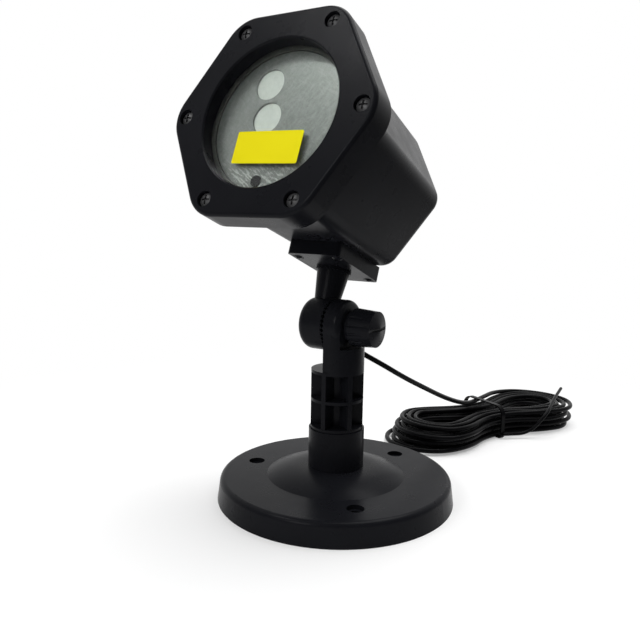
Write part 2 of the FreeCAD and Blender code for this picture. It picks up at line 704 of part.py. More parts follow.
def build_housing():
    body = new_body("housing", on_face)
    front = shell_apothem_at(seal_back)
    sketch = new_sketch(body, "XZ_Plane", -seal_back)
    hexagon(sketch, front)
    feature(body, "Pad", sketch, S.shell_depth - seal_back, flip=True, taper=-taper_angle())
    soften(body, S.shell_corner, upright_edges)
    soften(body, S.shell_round, lambda edge: near(edge.BoundBox.YMin, S.shell_depth))
    sketch = new_sketch(body, "XZ_Plane", -seal_back)
    hexagon(sketch, flange_apothem, skirt_corner)
    feature(body, "Pad", sketch, flange_back - seal_back, flip=True)
    for depth, radius, length in ((seal_back, S.glass_radius + S.flange_clearance, S.ledge_depth - seal_back),
                                  (S.ledge_depth, S.glass_radius - S.ledge_lap, S.ledge_thickness)):
        sketch = new_sketch(body, "XZ_Plane", -depth)
        circle(sketch, 0, 0, radius)
        feature(body, "Pocket", sketch, length)
    sketch = new_sketch(body, "XZ_Plane", -flange_back)
    hexagon(sketch, shell_apothem_at(flange_back) - S.shell_wall)
    feature(body, "Pocket", sketch, S.shell_depth - S.shell_wall - flange_back, taper=-taper_angle())
    # Pillars for the board and for the arm's screws rise from the floor of the shell
    board_spots = list(board_screw_spots())
    aside = block_middle - head_middle
    arm_spots = [(aside + side, face_reach + back) for side, back in block_screw_spots()]
    board_bore = S.board_shank_radius + S.shank_clearance
    arm_bore = S.arm_shank_radius + S.shank_clearance
    for pair in (board_spots[:2], board_spots[2:]):
        floor = floor_at(pair[0][1])
        pillars(body, pair, floor, -board_drop - floor, S.pillar_radius)
    for pair in (arm_spots[:2], arm_spots[2:]):
        pillars(body, pair, floor_at(pair[0][1]), S.arm_pillar_height, S.pillar_radius)
    pillars(body, board_spots, -board_drop - S.board_screw_length, S.board_screw_length, board_bore, "Pocket")
    deep = floor_at(S.bezel_depth) - S.shell_wall
    pillars(body, arm_spots, deep, S.arm_pillar_height + S.shell_wall, arm_bore, "Pocket")
    gland_spot = (aside + S.gland_side, face_reach + S.gland_rear)
    pillars(body, [gland_spot], deep, S.shell_wall * 3, S.gland_radius, "Pocket")
    made = []
    sketch = new_sketch(body, "XZ_Plane", -seal_back)
    circle(sketch, screw_circle, 0, S.screw_shank_radius + S.shank_clearance)
    made.append(feature(body, "Pocket", sketch, screw_tip + S.flange_clearance - seal_back))
    ring_of(body, made, S.bezel_screw_count, "Y_Axis")


# Window stack and light sources

def tube(label, outer, inner, length, depth):
    ring = cut(label, rod(f"{label}_outer", outer, length), rod(f"{label}_bore", inner, length))
    on_face(ring, depth=depth, turn=90)
    return keep(ring, label)


def aperture_spots():
    for step in (0, 1):
        yield S.aperture_side - S.aperture_lean * (1 - step), S.aperture_high - S.aperture_pitch * step


plate_back = S.ledge_depth
sensor_low = S.glass_radius - S.sensor_margin
holder_front = plate_back + S.grating_thickness


def build_window():
    seal_bore = S.glass_radius + S.flange_clearance
    tube("bezel_gasket", seal_bore + S.seal_width, seal_bore, S.seal_thickness, S.face_wall)
    glass = keep(rod("window_glass", S.glass_radius, S.glass_thickness), "window_glass")
    on_face(glass, depth=S.face_wall, turn=90)
    glass_back = S.face_wall + S.glass_thickness
    tube("window_gasket", S.glass_radius, S.glass_radius - S.spacer_width,
         S.ledge_depth - S.plate_thickness - glass_back, glass_back)
    plate = rod("plate_disc", S.glass_radius, S.plate_thickness)
    on_face(plate, depth=S.ledge_depth - S.plate_thickness, turn=90)
    holes = []
    for side, up in aperture_spots():
        hole = rod("aperture", S.aperture_radius, S.plate_thickness * 3)
        on_face(hole, side, S.ledge_depth - S.plate_thickness * 2, up, 90)
        holes.append(hole)
    hole = rod("sensor_hole", S.sensor_radius + S.flange_clearance, S.plate_thickness * 3)
    on_face(hole, S.sensor_side, S.ledge_depth - S.plate_thickness * 2, -sensor_low, 90)
    holes.append(hole)
    keep(cut("aperture_plate", plate, fused("plate_holes", holes)), "aperture_plate")


def build_sources():
    discs = []
    for side, up in aperture_spots():
        disc = rod("grating", S.grating_radius, S.grating_thickness)
        on_face(disc, side, plate_back, up, 90)
        discs.append(disc)
    keep(group("diffraction_gratings", discs), "diffraction_gratings")
    width = (S.module_radius + S.holder_margin) * 2
    height = width + S.aperture_pitch
    holder = block("holder_block", width, S.holder_depth, height)
    low = S.aperture_high - S.aperture_pitch - S.module_radius - S.holder_margin
    on_face(holder, S.aperture_side - S.aperture_lean / 2 - width / 2, holder_front, low)
    bores = []
    for label, (side, up) in zip(("red_laser_module", "green_laser_module"), aperture_spots()):
        bore = rod("module_bore", S.module_radius + S.module_fit, S.holder_depth * 2)
        on_face(bore, side, holder_front - S.holder_depth / 2, up, 90)
        bores.append(bore)
        module = keep(rod(label, S.module_radius, S.module_length), label)
        on_face(module, side, holder_front, up, 90)
    keep(cut("laser_block", holder, fused("module_bores", bores)), "laser_block")
    case = block("sensor_case", S.sensor_width, S.sensor_depth, S.sensor_height)
    on_face(case, S.sensor_side - S.sensor_width / 2, plate_back, -sensor_low - S.sensor_height / 2)
    dome = rod("sensor_dome", S.sensor_radius, S.sensor_reach + S.sensor_depth / 2)
    on_face(dome, S.sensor_side, plate_back - S.sensor_reach, -sensor_low, 90)
    keep(fused("ir_receiver", [case, dome]), "ir_receiver")




def board_screw_spots():
    for depth in (S.board_front + S.pillar_inset, board_rear - S.pillar_inset):
        for side in (-S.pillar_side, S.pillar_side):
            yield side, depth


def build_board():
    board = block("board_sheet", board_half_width * 2, board_rear - S.board_front, S.board_thickness)
    on_face(board, -board_half_width, S.board_front, -board_drop)
    holes = []
    for side, depth in board_screw_spots():
        hole = rod("board_hole", S.board_shank_radius + S.shank_clearance, S.board_thickness * 3)
        on_face(hole, side, depth, -board_drop - S.board_thickness)
        holes.append(hole)
    keep(cut("driver_board", board, fused("board_holes", holes)), "driver_board")
    top = S.board_thickness - board_drop
    row = board_rear - S.component_row
    aside = board_half_width / 2
    capacitor = rod("capacitor", S.capacitor_radius, S.capacitor_height)
    on_face(capacitor, aside, row, top)
    coil = rod("coil", S.coil_radius, S.coil_height)
    on_face(coil, -aside, row, top)
    chip = block("driver_chip", S.chip_length, S.chip_width, S.chip_height)
    on_face(chip, -S.chip_length / 2, row - S.chip_width / 2, top)
    terminal = block("cable_terminal", S.terminal_length, S.terminal_width, S.terminal_height)
    on_face(terminal, -S.terminal_length / 2, board_rear - S.terminal_row, top)
    keep(group("board_components", [capacitor, coil, chip, terminal]), "board_components")
    shape = screw_solid(S.board_head_radius.value, S.board_head_height.value, S.board_shank_radius.value,
                        S.board_screw_length.value)
    places = []
    for side, depth in board_screw_spots():
        spot = Placement(Vector(side.value, depth.value, top.value), Rotation(Vector(1, 0, 0), 180))
        places.append(face_frame().multiply(spot))
    copies("board_screws", shape, places)


# Cable: a lead from the gland to a tied hank on the floor

def arc_middle(start, heading, end):
    """Middle point of the arc that leaves start along heading and reaches end."""
    chord = end - start
    along = Vector(chord).normalize()
    aside = heading - along * heading.dot(along)
    if aside.Length < 1e-6:
        return None
    half_turn = math.acos(max(-1, min(1, heading.dot(along))))
    return start + chord * 0.5 + aside.normalize() * (chord.Length / 2 * math.tan(half_turn / 2))


def bend(start, heading, end):
    middle = arc_middle(start, heading, end)
    if middle is None:
        return Part.LineSegment(start, end).toShape()
    return Part.Arc(start, middle, end).toShape()


def biarc(start, leaving, end, arriving):
    """Two arcs that join two points with a given heading at each."""
    span = end - start
    both = leaving + arriving
    spread = 2 * (1 - leaving.dot(arriving))
    if spread < 1e-9:
        reach = span.dot(span) / (2 * span.dot(both))
    else:
        lean = span.dot(both)
        reach = (math.sqrt(lean * lean + spread * span.dot(span)) - lean) / spread
    middle = (start + end + (leaving - arriving) * reach) * 0.5
    backwards = bend(end, arriving * -1, middle)
    return [bend(start, leaving, middle), backwards]


def sweep(edges, start, heading, radius):
    path = Part.Wire(Part.__sortEdges__(edges))
    section = Part.Wire([Part.makeCircle(radius, start, heading)])
    shape = path.makePipeShell([section], True, False)
    return shape, path


# Route of the lead, by hand: once clear of the gland, down behind the knuckle and across to the hank
LEAD_ROUTE = [(-11.6, 17.2, 81.8), (-8.5, 19.8, 73.6), (-2.2, 25.3, 67), (4.6, 36, 60), (10.9, 52, 50.2),
              (15, 72, 40.6), (17, 95, 30.6), (18.6, 117, 22.6), (19.6, 132, 18.9), (20.3, 142.2, 18.2)]
# First run of the lead, straight out of the gland
LEAD_START = 7.8


def lead_points():
    drop = S.block_drop - S.gland_length - S.gland_gap
    tip = Vector(S.gland_side.value, S.gland_rear.value, drop.value)
    start = [block_frame().multVec(tip - Vector(0, 0, run)) for run in (0, LEAD_START)]
    return start + [Vector(*spot) for spot in LEAD_ROUTE]


def rounded_route(points):
    """Straight runs joined by tangent arcs, each as large as its two runs allow."""
    edges = []
    radii = []
    last = points[0]
    for before, corner, after in zip(points, points[1:], points[2:]):
        back, on = before - corner, after - corner
        turn = math.pi - back.getAngle(on)
        trim = 0.45 * min(back.Length, on.Length)
        radii.append(trim / math.tan(turn / 2))
        start = corner + back.normalize() * trim
        end = corner + on.normalize() * trim
        edges.append(Part.LineSegment(last, start).toShape())
        edges.append(bend(start, (corner - start).normalize(), end))
        last = end
    edges.append(Part.LineSegment(last, points[-1]).toShape())
    return edges, radii


def hank_frame():
    return Placement(Vector(S.hank_x.value, S.hank_y.value, 0), Rotation(Vector(0, 0, 1), S.hank_angle.value))


# One turn of the hank in eight stations: which reach applies, and the heading there
STATIONS = [((0, 0), (0, 1), (1, 0)), ((0, 1), (1, 0), (1, 0)), ((1, 0), (0, 0), (0, -1)),
            ((0, 1), (-1, 0), (-1, 0)), ((0, 0), (0, -1), (-1, 0)), ((0, -1), (-1, 0), (-1, 0)),
            ((-1, 0), (0, 0), (0, 1)), ((0, -1), (1, 0), (1, 0))]
# Steps of an eighth of a turn in each layer from the top down; a climb takes the run between two stations
LAYER_STEPS = (27, 26, 26, 26)
# Places and headings, by hand, where the lead comes in over the top layer
CROSSING = [((30, 21.2, 17), (0.9, 0.42, -0.06)), ((43, 24.9, 15.2), (1, 0, -0.15))]
CLIMB_STEPS = 2
TURN_STEPS = len(STATIONS)


def hank_stations():
    """Places and headings along the hank: in, down, out, down, in, down and out again."""
    step, inward, layer = 0, 0.0, len(LAYER_STEPS) - 1
    walk = [(step, inward, float(layer), 0.0)]
    for number, count in enumerate(LAYER_STEPS):
        pull = 1 if number % 2 == 0 else -1
        for _ in range(count):
            step += 1
            inward += pull / TURN_STEPS
            walk.append((step, inward, float(layer), 0.0))
        if layer > 0:
            for part in range(1, CLIMB_STEPS + 1):
                step += 1
                fall = -S.layer_step.value / (2 * S.lobe_place.value) if part < CLIMB_STEPS else 0.0
                walk.append((step, inward, layer - part / CLIMB_STEPS, fall))
            layer -= 1
    for step, inward, level, fall in walk:
        (end_sign, lobe_sign), (lobe, waist), (ahead, across) = STATIONS[step % TURN_STEPS]
        reach = S.hank_half_length.value - S.end_step.value * inward
        width = S.hank_half_width.value - S.lobe_step.value * inward
        neck = S.waist_half_width.value - S.waist_step.value * inward
        along = end_sign * reach + lobe_sign * S.lobe_place.value
        aside = lobe * width + waist * neck
        height = S.hank_lift.value + S.cable_radius.value + level * S.layer_step.value
        yield Vector(along, aside, height), Vector(ahead, across, fall).normalize()


def least_gap(points, skip):
    """Least distance between points more than skip places apart along the line."""
    cell = 4.0
    boxes = {}
    for number, point in enumerate(points):
        boxes.setdefault(tuple(int(math.floor(c / cell)) for c in point), []).append(number)
    least, spot = cell, None
    for (i, j, k), members in boxes.items():
        others = [n for di in (-1, 0, 1) for dj in (-1, 0, 1) for dk in (-1, 0, 1)
                  for n in boxes.get((i + di, j + dj, k + dk), ())]
        for a in members:
            for b in others:
                gap = (points[a] - points[b]).Length
                if b - a > skip and gap < least:
                    least, spot = gap, points[a]
    return least, spot


def build_cable():
    gland_seat = shell_under(S.gland_rear)
    body = new_body("cable_gland", lambda thing: on_hinge(thing, block_middle + S.gland_side))
    sketch = new_sketch(body, "XZ_Plane", -S.gland_rear)
    stub = S.gland_radius - S.shank_clearance
    outline(sketch, [(0, S.block_drop - S.gland_length), (S.gland_tip_radius, S.block_drop - S.gland_length),
                     (stub, S.block_drop), (stub, gland_seat + S.shell_wall), (0, gland_seat + S.shell_wall)])
    spun(body, sketch)

    points = lead_points()
    edges, radii = rounded_route(points)
    heading = (points[1] - points[0]).normalize()
    shape, path = sweep(edges, points[0], heading, S.cable_radius.value)
    area = math.pi * S.cable_radius.value ** 2
    print("lead radii", [round(radius, 1) for radius in radii], "length", round(path.Length, 1))
    print("lead volume / (section x length)", round(shape.Volume / (area * path.Length), 4))
    solid("cable_lead", shape)

    frame = hank_frame()
    stations = list(hank_stations())
    arrival = frame.Rotation.inverted().multVec((points[-1] - points[-2]).normalize())
    crossing = [(Vector(*spot), Vector(*way).normalize()) for spot, way in CROSSING]
    stations[:2] = [(frame.inverse().multVec(points[-1]), arrival), *crossing]
    place, heading = stations[-1]
    jack_start = Vector(-S.jack_length.value / 2 - S.jack_neck_length.value, place.y + S.jack_aside.value,
                        S.jack_radius.value)
    stations.append((jack_start, heading))
    edges = [Part.LineSegment(stations[0][0], stations[0][0] + arrival * S.cable_radius.value * 2).toShape()]
    stations[0] = (stations[0][0] + arrival * S.cable_radius.value * 2, arrival)
    for (start, leaving), (end, arriving) in zip(stations, stations[1:]):
        edges += biarc(start, leaving, end, arriving)
    tail = jack_start + heading * S.cable_radius.value * 2
    edges.append(Part.LineSegment(jack_start, tail).toShape())
    first = stations[0][0] - arrival * S.cable_radius.value * 2
    shape, path = sweep(edges, first, arrival, S.cable_radius.value)
    spacing = 0.8
    line = path.discretize(Distance=spacing)
    gap, spot = least_gap(line, int(6 * S.cable_radius.value / spacing))
    gap -= 2 * S.cable_radius.value
    turns = (sum(LAYER_STEPS) + (len(LAYER_STEPS) - 1) * CLIMB_STEPS) / TURN_STEPS
    print("hank turns", round(turns, 2), "length", round(path.Length, 1), "least gap", round(gap, 3),
          "at", [round(c, 1) for c in spot])
    print("hank volume / (section x length)", round(shape.Volume / (area * path.Length), 4))
    solid("cable_hank", shape, frame)
    build_jack(frame, tail)
    build_tie(frame)


def build_jack(frame, start):
    """Moulded barrel plug with a tapered neck, lying along the hank."""
    neck = S.jack_neck_length.value
    body_end = neck + S.jack_length.value
    radius, tip, bevel = S.jack_radius.value, S.jack_pin_radius.value, S.jack_bevel.value
    pin_end = body_end + S.jack_pin_length.value
    profile = [(0, 0), (S.gland_tip_radius.value, 0), (S.jack_neck_radius.value, neck),
               (radius, neck + bevel), (radius, body_end - bevel), (radius - bevel, body_end),
               (tip, body_end), (tip, pin_end), (0, pin_end)]
    corners = [Vector(along, aside, 0) for aside, along in profile]
    shape = Part.Face(Part.makePolygon(corners + corners[:1])).revolve(Vector(), Vector(1, 0, 0), 360)
    solid("dc_plug", shape, frame.multiply(Placement(start, Rotation())))


def band(half_width, height, low_round, high_round):
    """Flat strap bent round a bundle, standing across X, its underside on the floor."""
    thick, width = S.tie_thickness.value, S.tie_width.value
    outer = Part.makeBox(width, half_width * 2 + thick * 2, height + thick * 2,
                         Vector(-width / 2, -half_width - thick, 0))
    inner = Part.makeBox(width * 2, half_width * 2, height, Vector(-width, -half_width, thick))
    rims = []
    for box, extra in ((outer, thick), (inner, 0)):
        for radius, level in ((low_round, box.BoundBox.ZMin), (high_round, box.BoundBox.ZMax)):
            rim = [edge for edge in box.Edges if runs_along(edge, "x") and near(edge.BoundBox.ZMin, level)]
            box = box.makeFillet(radius + extra, rim)
        rims.append(box)
    return rims[0].cut(rims[1])


# Free end of the tie, by hand: up the near side of the hank and across its top
TIE_ROUTE = [(0, -17.8, 3), (16, -24, 3), (25, -29.5, 16), (46, -16.5, 19.6), (66, -5, 21.5)]


def build_tie(frame):
    """The strap goes over the lead too, where it crosses the waist."""
    slack, bundle = S.tie_slack.value, S.cable_radius.value
    top = LEAD_ROUTE[-1][2] + bundle + slack
    strap = band(S.waist_half_width.value + bundle + slack, top - S.tie_thickness.value,
                 S.tie_low_round.value, S.tie_high_round.value)
    points = [Vector(*spot) for spot in TIE_ROUTE]
    edges, _ = rounded_route(points)
    wire, _ = sweep(edges, points[0], (points[1] - points[0]).normalize(), S.tie_wire_radius.value)
    solid("waist_tie", strap.fuse(wire).removeSplitter(), frame)


build_base()
build_post()
build_arm()
build_arm_screws()
build_hinge_bolt()
build_knob()
build_bezel()
build_bezel_screws()
build_housing()
build_window()
build_sources()
build_board()
build_cable()
doc.recompute()

# Nothing is written unless every object is sound
for thing in doc.Objects:
    if "Invalid" in thing.State or "Error" in thing.State:
        raise RuntimeError(f"{thing.Label}: {thing.State} {thing.getStatusString()}")
for label, thing in parts.items():
    if thing.Shape.isNull() or not thing.Shape.isValid():
        raise RuntimeError(f"{label}: shape is not sound")

os.makedirs("parts", exist_ok=True)
for label, thing in parts.items():
    thing.Shape.exportStep(f"parts/{label}.step")
print(len(parts), "nodes")
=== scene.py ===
# %% [markdown]
# # A laser show projector on a round foot
# The solids come from CAD in metres, already in place, so this lesson is about looks: light, finishes, and
# the pieces that a solid can't give, such as a cable that lies in a tied hank.

# %% Load the frame
import math
import random

import bmesh
import bpy
from mathutils import Matrix, Vector


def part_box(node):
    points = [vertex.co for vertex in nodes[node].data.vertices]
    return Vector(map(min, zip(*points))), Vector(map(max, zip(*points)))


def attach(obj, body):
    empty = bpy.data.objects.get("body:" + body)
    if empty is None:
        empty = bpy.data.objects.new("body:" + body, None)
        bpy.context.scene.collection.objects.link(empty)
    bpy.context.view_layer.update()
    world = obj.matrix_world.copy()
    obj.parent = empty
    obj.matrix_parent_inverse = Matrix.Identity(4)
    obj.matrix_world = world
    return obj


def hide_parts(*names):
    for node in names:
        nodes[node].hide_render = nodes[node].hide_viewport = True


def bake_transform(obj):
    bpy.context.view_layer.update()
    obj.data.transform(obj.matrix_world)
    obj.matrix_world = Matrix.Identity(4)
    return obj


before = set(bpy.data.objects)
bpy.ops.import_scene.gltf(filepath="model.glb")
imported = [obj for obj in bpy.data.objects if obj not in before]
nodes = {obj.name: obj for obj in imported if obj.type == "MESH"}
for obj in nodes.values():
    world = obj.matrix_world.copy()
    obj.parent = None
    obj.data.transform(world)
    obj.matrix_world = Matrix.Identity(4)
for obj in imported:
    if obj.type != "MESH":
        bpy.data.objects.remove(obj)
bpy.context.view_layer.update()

# %% [markdown]
# ## Camera
# The photograph was taken from a little above the knuckle, to the right of the head, looking slightly down.
# A camera can be aimed with a tracking constraint, but a matrix of its three axes also keeps the small roll
# that the photograph has, so the axes are written out: right, up and back.

# %% Camera at the photograph's place
CAMERA_PLACE = (0.16288, -0.27540, 0.13714)
camera = bpy.data.objects.new("camera", bpy.data.cameras.new("camera"))
bpy.context.scene.collection.objects.link(camera)
right = Vector((0.84470, 0.53497, 0.01700))
up = Vector((-0.09744, 0.12246, 0.98768))
back = right.cross(up)
axes = Matrix((right, up, back)).transposed().to_4x4()
camera.matrix_world = Matrix.Translation(CAMERA_PLACE) @ axes
camera.data.sensor_width = 36
camera.data.lens = 38.28
camera.data.clip_start = 0.01
bpy.context.scene.camera = camera
bpy.context.scene.view_settings.view_transform = "Standard"
print("camera looks along", [round(x, 3) for x in -back])

# %% [markdown]
# ## Cable
# The cable leaves the gland under the head, drops behind the knuckle, runs across to the floor and is folded
# into a hank with a tie at its waist. It is one length of flex, so it is one curve: a NURBS line of order 3
# stays inside its control points and turns smoothly, as a cable does, where straight runs would look like
# bent wire. The lead's points come first, out of the gland and down to the waist of the hank, where it goes
# under the tie.

# %% Route of the lead
LEAD_MILLIMETRES = [
    (-12.6, 19.1, 97.31), (-12.6, 16.3, 90.03), (-11.6, 17.2, 81.8), (-8.5, 19.8, 73.6), (-2.2, 25.3, 67),
    (4.6, 36, 60), (10.9, 52, 50.2), (15, 72, 40.6), (17, 95, 30.6), (18.6, 117, 22.6), (19.6, 132, 18.9),
    (20.3, 142.2, 18.2)]
lead_points = [Vector(spot) / 1000 for spot in LEAD_MILLIMETRES]
gland_exit = lead_points[0].copy()
print("lead leaves at", [round(x, 4) for x in gland_exit])

# %% [markdown]
# ### Turns of the hank
# A turn runs past the waist, along one side, round the end and back along the other side. Sixteen control
# points draw it, eight for each half: a curve of order 3 touches the middle of each straight between them,
# so two points at each side of an end, set like the corners of an octagon, give a round fold. Every turn is
# one cable and a little air further in than the one before, and the four layers spiral in and out by turns,
# so the length never has to jump. Loose turns also slip along each other where nothing ties them, so each
# layer falls short by its own amount at its two ends, and each point strays by less than the air between
# two turns.

# %% Half a turn in eight points
REACH, SIDE, WAIST = 0.0713, 0.025, 0.015
WAIST_RUN, SIDE_RUN, OCTAGON = 0.011, 0.032, math.tan(math.radians(22.5))
HALF_POINTS = 8


def half_turn(reach, side, waist):
    """Control points from the waist, round one end and back to the waist."""
    fold = reach - side * (1 - OCTAGON)
    out = [(WAIST_RUN, waist), (SIDE_RUN, side), (fold, side), (reach, side * OCTAGON)]
    return out + [(along, -aside) for along, aside in reversed(out)]


print("widest turn", 2 * REACH, "m long, with", 2 * HALF_POINTS, "points")

# %% One point of the hank
HANK_PLACE = Matrix.Translation((0.0274, 0.1387, 0)) @ Matrix.Rotation(math.radians(63), 4, "Z")
TURN_STEP, LOWEST, LAYER = 0.0039, 0.0024, 0.0038
NEAR_SLIP = (0.0005, 0.0034, 0.0064, 0.0092)
FAR_SLIP = (0.0035, 0.0012, 0.0045, 0.0008)
SIDE_SLIP = (0.0, 0.0007, -0.0012, 0.0008)
STRAY = 0.0005
draw = random.Random(5)


def hank_point(number, inward, level):
    """Place of a control point, from its number, how many turns in it lies, and its layer."""
    layer = round(level)
    halves, step = divmod(number, HALF_POINTS)
    far_end = halves % 2 == 0
    slip = FAR_SLIP if far_end else NEAR_SLIP
    drawn_in = TURN_STEP * inward
    along, aside = half_turn(REACH - drawn_in - slip[layer], SIDE - drawn_in, WAIST - drawn_in)[step]
    if not far_end:
        along, aside = -along, -aside
    stray = Vector([draw.uniform(-STRAY, STRAY) for _ in range(3)])
    return HANK_PLACE @ (Vector((along, aside + SIDE_SLIP[layer], LOWEST + LAYER * level)) + stray)


print("layers start", [round(LOWEST + LAYER * layer, 4) for layer in range(len(NEAR_SLIP))], "m up")

# %% Four layers, in and out
# The count of points in each layer, from the top, and whether it spirals in or out
LAYER_RUNS = ((54, 1), (52, -1), (52, 1), (52, -1))
# The four points that lead down from a layer to the next, as shares of a layer
SINK = (0.1, 0.35, 0.65, 0.9)
hank_points = []
inward, level = 0.0, 3.0
for count, pull in LAYER_RUNS:
    step_in = pull / (2 * HALF_POINTS)
    for _ in range(count):
        hank_points.append(hank_point(len(hank_points), inward + step_in / 2, level))
        inward += step_in
    if level > 0:
        for drop in SINK:
            hank_points.append(hank_point(len(hank_points), inward, level - drop))
        level -= 1
print(len(hank_points), "points in", round(len(hank_points) / (2 * HALF_POINTS), 1), "turns")

# %% [markdown]
# ### Where the lead meets the hank, and where the cable ends
# The lead comes in over the top layer and sinks to it on its way to the first fold, so the hank's first two
# points give way to two higher ones. At the other end the cable rises a little into the neck of its plug.

# %% Join the lead, the hank and the plug
OVER = [(0.013, 0.0137, 0.0179), (0.031, 0.0226, 0.0168)]
PLUG_HEIGHT, PLUG_ASIDE = 0.0042, 0.002
last_side = SIDE - TURN_STEP * inward
plug_side = last_side + PLUG_ASIDE
tail = [(-0.033, last_side, LOWEST), (-0.0245, last_side + 0.0012, 0.0034),
        (-0.0185, plug_side, PLUG_HEIGHT), (-0.0157, plug_side, PLUG_HEIGHT)]
over_points = [HANK_PLACE @ Vector(spot) for spot in OVER]
tail_points = [HANK_PLACE @ Vector(spot) for spot in tail]
cable_points = lead_points + over_points + hank_points[len(OVER):] + tail_points
print(len(cable_points), "control points, ending at the plug,", [round(x, 4) for x in cable_points[-1]])

# %% [markdown]
# ### Swept tube
# A curve with a round bevel is a tube that follows every bend. The bare curve is made a mesh first, because
# its vertices are the middle line, which gives the cable's length. Then the bevel is set, and the tube is
# made a mesh too, as every piece of the frame is.

# %% Sweep the cable
CABLE_RADIUS = 0.0014
line = bpy.data.curves.new("cable_line", "CURVE")
line.dimensions = "3D"
line.resolution_u = 6
spline = line.splines.new("NURBS")
spline.points.add(len(cable_points) - 1)
for point, spot in zip(spline.points, cable_points):
    point.co = (*spot, 1)
spline.order_u = 3
spline.use_endpoint_u = True
bare = bpy.data.objects.new("cable_line", line)
centre_line = [v.co.copy() for v in bpy.data.meshes.new_from_object(bare).vertices]
line.bevel_depth = CABLE_RADIUS
line.bevel_resolution = 4
line.use_fill_caps = True
cable = bpy.data.objects.new("cable", bpy.data.meshes.new_from_object(bare))
bpy.context.scene.collection.objects.link(cable)
bpy.data.objects.remove(bare)

# %% [markdown]
# ### In place of the CAD tubes
# On the projector the hank stays with the post, and the end in the gland tilts with the head. The cable is
# smoothed and takes the place of the two stiff tubes that CAD has for it, which are hidden.

# %% Smooth the cable and hide the CAD tubes
for polygon in cable.data.polygons:
    polygon.use_smooth = True
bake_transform(cable)
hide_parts("cable_lead", "cable_hank")

# %% [markdown]
# ## Sticker on the glass
# A plain paper sticker lies on the glass below the apertures. A plane would have no edge to catch the light,
# so it is a thin box with its corners rounded by a bevel. The glass leans back with the head, and the
# sticker takes its place and its lean from it.

# %% New pieces, and how the glass lies


def new_piece(name, shape):
    """An object at the origin that has the shape, and its place, in its mesh."""
    piece = bpy.data.objects.new(name, bpy.data.meshes.new(name))
    shape.to_mesh(piece.data)
    shape.free()
    bpy.context.scene.collection.objects.link(piece)
    return piece


TILT = math.radians(21)
glass_low, glass_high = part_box("window_glass")
glass_middle = (Vector(glass_low) + Vector(glass_high)) / 2
on_glass = Matrix.Translation(glass_middle) @ Matrix.Rotation(-TILT, 4, "X")
print("middle of the glass at", [round(x, 4) for x in glass_middle])

# %% Sticker
STICKER_SIZE, STICKER_CORNER = (0.033, 0.00015, 0.0142), 0.0008
STICKER_PLACE, STICKER_SLANT = (-0.0006, -0.0128), 0.025
GLASS_HALF = 0.001
thickness = STICKER_SIZE[1]
lift = Matrix.Translation((STICKER_PLACE[0], -GLASS_HALF - thickness / 2, STICKER_PLACE[1]))
slant = Matrix.Rotation(STICKER_SLANT, 4, "Y")
sheet = bmesh.new()
bmesh.ops.create_cube(sheet, size=1.0, matrix=Matrix.Diagonal((*STICKER_SIZE, 1)))
corners = [edge for edge in sheet.edges if abs((edge.verts[0].co - edge.verts[1].co).y) > thickness / 2]
bmesh.ops.bevel(sheet, geom=corners, offset=STICKER_CORNER, affect="EDGES", segments=4, profile=0.5,
                material=-1)
bmesh.ops.transform(sheet, matrix=on_glass @ lift @ slant, verts=sheet.verts)
sticker = new_piece("blank_sticker", sheet)
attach(sticker, "head")
print("sticker of", len(sticker.data.polygons), "faces")

# %% [markdown]
# ## Foam ring behind the glass
# A dark ring of foam fills the narrow gap between the glass and the plate and frames what shows of the plate.
# It is a small rectangle spun a full turn about the middle of the glass. Spinning with a merge closes the
# seam, where a pair of cylinders and a boolean would give long thin faces.

# %% Foam ring
RING_INNER, RING_OUTER = 0.0312, 0.0338
RING_GAP, RING_DEPTH, RING_STEPS = 0.00005, 0.0009, 96
ring_front = GLASS_HALF + RING_GAP
ring_back = ring_front + RING_DEPTH
foam = bmesh.new()
section = [foam.verts.new((radius, depth, 0)) for radius, depth in (
    (RING_INNER, ring_front), (RING_OUTER, ring_front), (RING_OUTER, ring_back), (RING_INNER, ring_back))]
outline = [foam.edges.new((a, b)) for a, b in zip(section, section[1:] + section[:1])]
bmesh.ops.spin(foam, geom=section + outline, cent=(0, 0, 0), axis=(0, 1, 0), angle=math.tau,
               steps=RING_STEPS, use_merge=True)
bmesh.ops.recalc_face_normals(foam, faces=foam.faces)
bmesh.ops.transform(foam, matrix=on_glass, verts=foam.verts)
foam_ring = new_piece("foam_ring", foam)
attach(foam_ring, "head")
print("foam ring of", len(foam_ring.data.polygons), "faces")

# %% [markdown]
# ## Finishes
# Each finish is a small node tree round one Principled shader. What is the same all over is set on the
# shader's own sockets. What varies, such as the fine grain of a mould, comes from noise on Object
# coordinates, so it stays on the surface from every side.

# %% A shader and its noise


def new_finish(name, colour, roughness, metallic=0.0, specular=0.5):
    material = bpy.data.materials.new(name)
    material.use_nodes = True
    tree = material.node_tree
    shader = tree.nodes["Principled BSDF"]
    shader.inputs["Base Color"].default_value = (*colour, 1)
    shader.inputs["Roughness"].default_value = roughness
    shader.inputs["Metallic"].default_value = metallic
    shader.inputs["Specular IOR Level"].default_value = specular
    return material, tree, shader


def coordinates(tree, kind="Object"):
    return tree.nodes.new("ShaderNodeTexCoord").outputs[kind]


def noise(tree, scale, detail=4.0, vector=None):
    texture = tree.nodes.new("ShaderNodeTexNoise")
    texture.inputs["Scale"].default_value = scale
    texture.inputs["Detail"].default_value = detail
    tree.links.new(coordinates(tree) if vector is None else vector, texture.inputs["Vector"])
    return texture.outputs["Fac"]


print("shader and noise ready")

# %% Numbers, colours and bumps from noise
# Noise keeps close to a half, so its middle stretch is taken as the whole
NOISE_SPAN = (0.3, 0.7)


